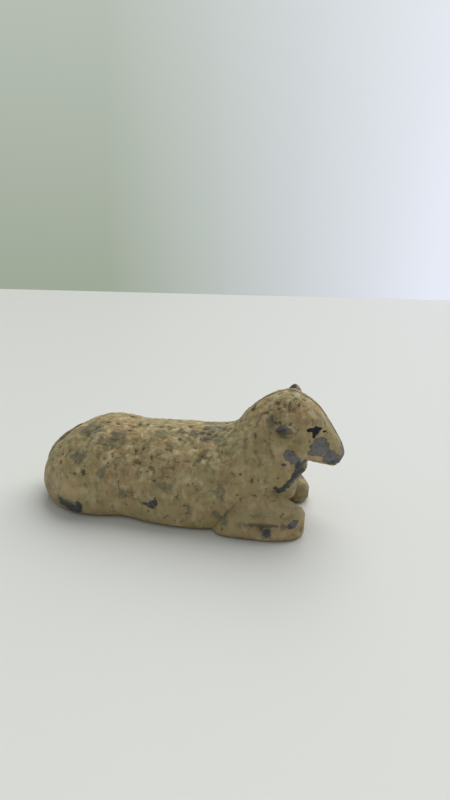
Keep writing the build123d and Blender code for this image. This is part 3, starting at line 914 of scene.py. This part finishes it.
# folded foreleg: rounded-square rings along the leg, flat on the table, the top rising in to the shoulder,
# with a groove along the outside where the shin lies under the forearm
def foldedLeg(name, node, sign, side, seed):
    rows = throughRows(foreleg["stations"] + side["knee"], foreleg["along"])
    legX, outer, inner, top, slope, sole = (rows[:, k][:, None] for k in range(6))
    turn = np.linspace(0, 2 * math.pi, foreleg["around"], endpoint=False)[None, :]
    power = 2 / foreleg["square"]
    cosine = np.sign(np.cos(turn)) * np.abs(np.cos(turn)) ** power
    sine = np.sign(np.sin(turn)) * np.abs(np.sin(turn)) ** power
    y = (outer + inner) / 2 + (outer - inner) / 2 * cosine
    level = foreleg["middle"] + (1 - foreleg["middle"]) * sine
    z = sole + (top - sole) * level + slope * (outer - y) * ease(sine, *foreleg["slopeRange"])
    x = legX + 0 * z
    points = np.stack([x, y, z], axis=-1)
    normals = gridNormals(points)
    here = points * np.array([1, sign, 1])
    (lumpSize, lump), (curlSize, curl), (fineSize, fine) = foreleg["lump"], foreleg["curl"], foreleg["fine"]
    dabs = lump * latticeNoise(here, lumpSize, seed) + curl * (0.5 - cellNoise(here, curlSize, seed + 1))
    dabs = dabs + fine * latticeNoise(here, fineSize, seed + 2)
    line = foreleg["grooveHeight"] - foreleg["grooveFall"] * (x - foreleg["grooveFrom"])
    onSide = ease(cosine + 0 * z, *foreleg["grooveSide"])
    onSide = onSide * ease(x, *foreleg["grooveStart"]) * (1 - ease(x, *foreleg["grooveEnd"]))
    groove = -foreleg["grooveDepth"] * np.exp(-((z - line) / foreleg["grooveHalf"]) ** 2) * onSide
    points = points + normals * (dabs + groove)[..., None]
    points[..., 1] -= np.sign(cosine) * edgeInset(points[..., 2], foreleg["edgeRadius"])
    points[..., 2] = np.maximum(points[..., 2], 0)

    rough = latticeNoise(here, foreleg["raggedSize"], seed + 5)
    inside = ease(foreleg["insideFrom"] - points[..., 1], 0, foreleg["insideFade"])
    inside = inside * (1 - ease(points[..., 2], *foreleg["insideTop"]))
    stains = ease(ovals(points, foreleg["pits"], rough), *foreleg["stainEdge"])
    # painted shade: brown in the hollows of the relief and in the groove
    sunk = -(dabs + foreleg["grooveShade"] * groove) / foreleg["hollowDepth"]
    dirt = foreleg["dirtMost"] * ease(ovals(points, foreleg["grime"], rough), *foreleg["softEdge"])
    dirt = np.maximum(dirt, foreleg["insideDirt"] * inside)
    # painted shade on the top of the leg, fading out towards the shoulder
    dusky = ease(z, *foreleg["shadeStart"]) * (1 - ease(z, *foreleg["shadeEnd"]))
    marks = {
        "wear": ovals(points, side["chips"], rough) * (points[..., 1] > foreleg["wearOutside"]),
        "hollow": np.clip(sunk - foreleg["hollowStart"] + stains, 0, 1),
        # dirt, with dirt and painted shade on the top of the leg
        "grime": dirt + side["topDirtAndShade"] * ease(z, *foreleg["topDirtShadeHeights"]),
        "shade": side["topShade"] * dusky,
        "plain": np.full_like(z, foreleg["plain"]),
    }
    points[..., 1] *= sign
    settle(ringMesh(name, points, marks), node)


foldedLeg("rightForeleg", "right_foreleg", -1, foreleg["right"], 51)
foldedLeg("leftForeleg", "left_foreleg", 1, foreleg["left"], 61)
print("forelegs made")


ear = {
    "root": (18.9, 4.4, 17.5),
    "lengthRight": 6.6,
    "lengthLeft": 7.1,
    "liftRight": 23,
    "liftLeft": 48,
    # share of the length, half width, half thickness
    "stations": [
        (0.0, 1.3, 1.1),
        (0.3, 1.7, 1.15),
        (0.55, 1.75, 1.05),
        (0.8, 1.35, 0.8),
        (0.94, 0.8, 0.5),
        (1.0, 0.3, 0.2),
    ],
    "along": 70,
    "around": 72,
    "sharp": 1.5,
    "cup": 0.5,
    "cupHalf": 0.5,
    "cupStart": (0.35, 0.6),
    "cupEnd": (0.8, 1.0),
    "rough": 0.07,
    "roughSize": 1.2,
    # marks of the paint: the tip, and the rear edge, where x is low; the rear edge and the cup take painted
    # shade
    "tipRange": (0.55, 0.9),
    "wear": 0.2,
    "wearTip": 0.4,
    "wearEdge": 0.4,
    "wearRange": (-0.6, 0.3),
    "wearRough": 0.15,
    "wearSize": 0.8,
    "hollow": 0.2,
    "tipRearShade": 0.5,
    "hollowRange": (0.0, 0.8),
    "grime": 0.3,
    "rearEdgeShade": 1.2,
    "grimeRange": (-0.4, 0.4),
}


# ear: oval rings along a straight line out of the head, narrowing to a blunt tip and cupped on the lower side
def leafEar(name, node, sign, length, lift, seed):
    rows = throughRows(ear["stations"], ear["along"])
    share, halfWidth, halfThick = (rows[:, k][:, None] for k in range(3))
    turn = np.linspace(0, 2 * math.pi, ear["around"], endpoint=False)[None, :]
    slope = math.radians(lift)
    across = halfWidth * np.cos(turn)
    thick = halfThick * np.sign(np.sin(turn)) * np.abs(np.sin(turn)) ** ear["sharp"]
    cup = ear["cup"] * np.exp(-(np.cos(turn) / ear["cupHalf"]) ** 2) * (np.sin(turn) < 0)
    cup = cup * ease(share, *ear["cupStart"]) * (1 - ease(share, *ear["cupEnd"]))
    thick = thick + cup
    outwards = length * share
    points = np.stack([
        ear["root"][0] + across,
        ear["root"][1] + outwards * math.cos(slope) - thick * math.sin(slope),
        ear["root"][2] + outwards * math.sin(slope) + thick * math.cos(slope),
    ], axis=-1)
    here = points * np.array([1, sign, 1])
    dabs = ear["rough"] * latticeNoise(here, ear["roughSize"], seed)
    points = points + gridNormals(points) * dabs[..., None]
    tip = ease(share + 0 * across, *ear["tipRange"])
    worn = ear["wear"] + ear["wearTip"] * tip + ear["wearEdge"] * ease(-across, *ear["wearRange"])
    worn = worn + ear["wearRough"] * latticeNoise(here, ear["wearSize"], seed + 1)
    # painted shade in the cup and on the rear edge near the tip
    sunk = ear["hollow"] + cup / ear["cup"] + ear["tipRearShade"] * ease(-across, *ear["hollowRange"]) * tip
    marks = {
        "wear": np.clip(worn, 0, 1),
        "hollow": np.clip(sunk, 0, 1),
        # dirt, and painted shade on the rear edge
        "grime": ear["grime"] + ear["rearEdgeShade"] * ease(-across, *ear["grimeRange"]),
    }
    points[..., 1] *= sign
    settle(ringMesh(name, points, marks), node)


leafEar("rightEar", "right_ear", -1, ear["lengthRight"], ear["liftRight"], 81)
leafEar("leftEar", "left_ear", 1, ear["lengthLeft"], ear["liftLeft"], 91)
print("ears made")


tail = {
    # x, z on the rump, half width, thickness
    "stations": [
        (-27.3, 2.6, 0.5, 0.2),
        (-27.5, 3.2, 1.2, 0.5),
        (-27.7, 5.0, 2.0, 0.65),
        (-27.1, 7.0, 2.1, 0.7),
        (-25.9, 9.0, 1.9, 0.7),
        (-23.9, 11.0, 1.5, 0.6),
        (-22.0, 12.7, 0.9, 0.35),
        (-21.0, 13.4, 0.4, 0.15),
    ],
    "along": 130,
    "around": 60,
    "sunk": 0.35,
    # relief: size, depth
    "lump": (1.9, 0.12),
    "curl": (1.8, 0.14),
    "hollowDepth": 0.18,
    "hollowStart": 0.25,
    # painted shade along the edges, where the tail meets the rump, and at its top
    "edgeShade": 0.9,
    "edgeRange": (0.8, 1.0),
    "upperShade": 0.7,
    "topRange": (9.0, 11.0),
    "wear": 0.4,
    "wearSize": 2.2,
    "wearRange": (0.3, 0.6),
    "grime": 0.25,
    "grimeSize": 2.0,
    "grimeRange": (0.0, 0.5),
    "shade": 0.3,
    "seed": 101,
}


# tail: flat oval rings carried up the curve of the rump
def strapTail(name):
    rows = throughRows(tail["stations"], tail["along"])
    path = rows[:, 0:2]
    ahead = np.gradient(path, axis=0)
    ahead /= np.linalg.norm(ahead, axis=1, keepdims=True)
    outward = np.stack([-ahead[:, 1], ahead[:, 0]], axis=-1)
    turn = np.linspace(0, 2 * math.pi, tail["around"], endpoint=False)[None, :]
    across = rows[:, 2][:, None] * np.cos(turn)
    lift = rows[:, 3][:, None] * np.sin(turn) - tail["sunk"] * (np.abs(np.cos(turn)) ** 2)
    points = np.stack([
        path[:, None, 0] + outward[:, None, 0] * lift,
        across,
        path[:, None, 1] + outward[:, None, 1] * lift,
    ], axis=-1)
    seed = tail["seed"]
    (lumpSize, lump), (curlSize, curl) = tail["lump"], tail["curl"]
    dabs = lump * latticeNoise(points, lumpSize, seed) + curl * (0.5 - cellNoise(points, curlSize, seed + 1))
    points = points + gridNormals(points) * dabs[..., None]
    # painted shade in the hollows, along the edges and at the top
    sunk = np.clip(-dabs / tail["hollowDepth"] - tail["hollowStart"], 0, 1)
    shadedEdges = tail["edgeShade"] * ease(np.abs(np.cos(turn)) + 0 * across, *tail["edgeRange"])
    shadedEdges = shadedEdges + tail["upperShade"] * ease(points[..., 2], *tail["topRange"])
    worn = ease(latticeNoise(points, tail["wearSize"], seed + 2), *tail["wearRange"])
    dirt = ease(latticeNoise(points, tail["grimeSize"], seed + 3), *tail["grimeRange"])
    marks = {
        "wear": tail["wear"] * worn,
        "hollow": np.maximum(sunk, shadedEdges),
        "grime": tail["grime"] * dirt,
        "shade": np.full_like(across, tail["shade"]),
    }
    settle(ringMesh(name, points, marks), "tail")


strapTail("tailStrap")
print("tail made")


studio = {
    "floorColour": (0.695, 0.695, 0.655),
    "floorRoughness": 0.40,
    "floorReflection": 0.35,
    "floorHalf": 2,
    "wallShadeLeft": (0.345, 0.395, 0.310),
    "wallLightRight": (0.80, 0.83, 0.93),
    "wallEnds": (-0.130, 0.095),
    "wallPale": (0.80, 0.84, 0.85),
    "wallPaleShare": 0.30,
    "wallPaleEnds": (0.0, 0.19),
    "wallTurn": 19.0,
    "wallDistance": 0.43,
    "wallHalf": 2,
    "wallHeight": 2,
    "worldColour": (0.93, 0.97, 1.0),
    "worldStrength": 0.45,
    "lampStrength": 2.60,
    "lampWidth": 70.0,
    "lampFrom": (0.40, 1.40, 1.45),
    "cameraPlace": (25.1, -103.3, 53.1),
    "azimuth": 10.0,
    "pitch": 17.0,
    "roll": 2.6,
    "lens": 27.0,
    "sensor": 36,
    "nearest": 0.005,
}


# plain surface: one colour, one roughness and one strength of reflection
def plainSurface(name, colour, roughness, reflection):
    material = bpy.data.materials.new(name)
    material.use_nodes = True
    shader = material.node_tree.nodes["Principled BSDF"]
    shader.inputs["Base Color"].default_value = colour + (1,)
    shader.inputs["Roughness"].default_value = roughness
    shader.inputs["Specular IOR Level"].default_value = reflection
    return material


# flat sheet of the stage: one quad through its four corners
def stageSheet(name, corners, material):
    mesh = bpy.data.meshes.new(name)
    mesh.from_pydata(corners, [], [(0, 1, 2, 3)])
    mesh.materials.append(material)
    sheet = bpy.data.objects.new(name, mesh)
    bpy.context.collection.objects.link(sheet)


# backdrop: it glows with painted light, its colour running from a shaded left to a lit right along x and
# growing paler upwards; only the eye and reflections see it, and light passes through it
def backdropSurface(name):
    material = bpy.data.materials.new(name)
    material.use_nodes = True
    tree = material.node_tree
    tree.nodes.remove(tree.nodes["Principled BSDF"])
    place = addNode(tree, "ShaderNodeSeparateXYZ")
    tree.links.new(addNode(tree, "ShaderNodeTexCoord").outputs["Object"], place.inputs["Vector"])
    run = rampNode(tree, place.outputs["X"], *studio["wallEnds"])
    colour = mixColour(tree, run, studio["wallShadeLeft"], studio["wallLightRight"])
    height, paleEnds = place.outputs["Z"], studio["wallPaleEnds"]
    colour = layOver(tree, colour, height, paleEnds, studio["wallPaleShare"], studio["wallPale"])
    glow = addNode(tree, "ShaderNodeEmission")
    tree.links.new(colour, glow.inputs["Color"])
    rays = addNode(tree, "ShaderNodeLightPath")
    seen = mathNode(tree, "MAXIMUM", rays.outputs["Is Camera Ray"], rays.outputs["Is Glossy Ray"])
    seen = mathNode(tree, "MAXIMUM", seen, rays.outputs["Is Transmission Ray"])
    blend = addNode(tree, "ShaderNodeMixShader")
    tree.links.new(seen, blend.inputs["Fac"])
    tree.links.new(addNode(tree, "ShaderNodeBsdfTransparent").outputs["BSDF"], blend.inputs[1])
    tree.links.new(glow.outputs["Emission"], blend.inputs[2])
    tree.links.new(blend.outputs["Shader"], tree.nodes["Material Output"].inputs["Surface"])
    return material


heading = math.radians(studio["azimuth"])
forwardFlat = Vector((-math.sin(heading), math.cos(heading), 0))
sideways = Vector((math.cos(heading), math.sin(heading), 0))
eyePoint = Vector(studio["cameraPlace"]) * mm
wallTurn = math.radians(studio["wallTurn"])
wallRun = Vector((math.cos(wallTurn), math.sin(wallTurn), 0)) * studio["wallHalf"]
wallFoot = Vector((eyePoint.x, eyePoint.y, 0)) + forwardFlat * studio["wallDistance"]
wallRise = Vector((0, 0, studio["wallHeight"]))
half = studio["floorHalf"]
table = plainSurface("tableTop", studio["floorColour"], studio["floorRoughness"], studio["floorReflection"])
stageSheet("tableTop", [(-half, -half, 0), (half, -half, 0), (half, half, 0), (-half, half, 0)], table)
wallLow = [wallFoot - wallRun, wallFoot + wallRun]
wallCorners = wallLow + [wallFoot + wallRun + wallRise, wallFoot - wallRun + wallRise]
stageSheet("backWall", [tuple(corner) for corner in wallCorners], backdropSurface("backWall"))

world = bpy.data.worlds.new("studio")
bpy.context.scene.world = world
world.use_nodes = True
world.node_tree.nodes["Background"].inputs["Color"].default_value = studio["worldColour"] + (1,)
world.node_tree.nodes["Background"].inputs["Strength"].default_value = studio["worldStrength"]

lamp = bpy.data.objects.new("softLamp", bpy.data.lights.new("softLamp", "SUN"))
lamp.data.energy = studio["lampStrength"]
lamp.data.angle = math.radians(studio["lampWidth"])
lamp.rotation_euler = Vector(studio["lampFrom"]).to_track_quat("Z", "Y").to_euler()
lamp.visible_glossy = False
bpy.context.collection.objects.link(lamp)

pitch, roll = math.radians(studio["pitch"]), math.radians(studio["roll"])
forward = forwardFlat * math.cos(pitch) - Vector((0, 0, math.sin(pitch)))
upward = forwardFlat * math.sin(pitch) + Vector((0, 0, math.cos(pitch)))
cameraRight = sideways * math.cos(roll) + upward * math.sin(roll)
cameraUp = upward * math.cos(roll) - sideways * math.sin(roll)
camera = bpy.data.objects.new("camera", bpy.data.cameras.new("camera"))
camera.data.sensor_fit = "VERTICAL"
camera.data.sensor_height = studio["sensor"]
camera.data.lens = studio["lens"]
camera.data.clip_start = studio["nearest"]
camera.matrix_world = Matrix((
    (cameraRight.x, cameraUp.x, -forward.x, eyePoint.x),
    (cameraRight.y, cameraUp.y, -forward.y, eyePoint.y),
    (cameraRight.z, cameraUp.z, -forward.z, eyePoint.z),
    (0, 0, 0, 1),
))
bpy.context.collection.objects.link(camera)
bpy.context.scene.camera = camera
bpy.context.scene.view_settings.view_transform = "Standard"
print("studio made")
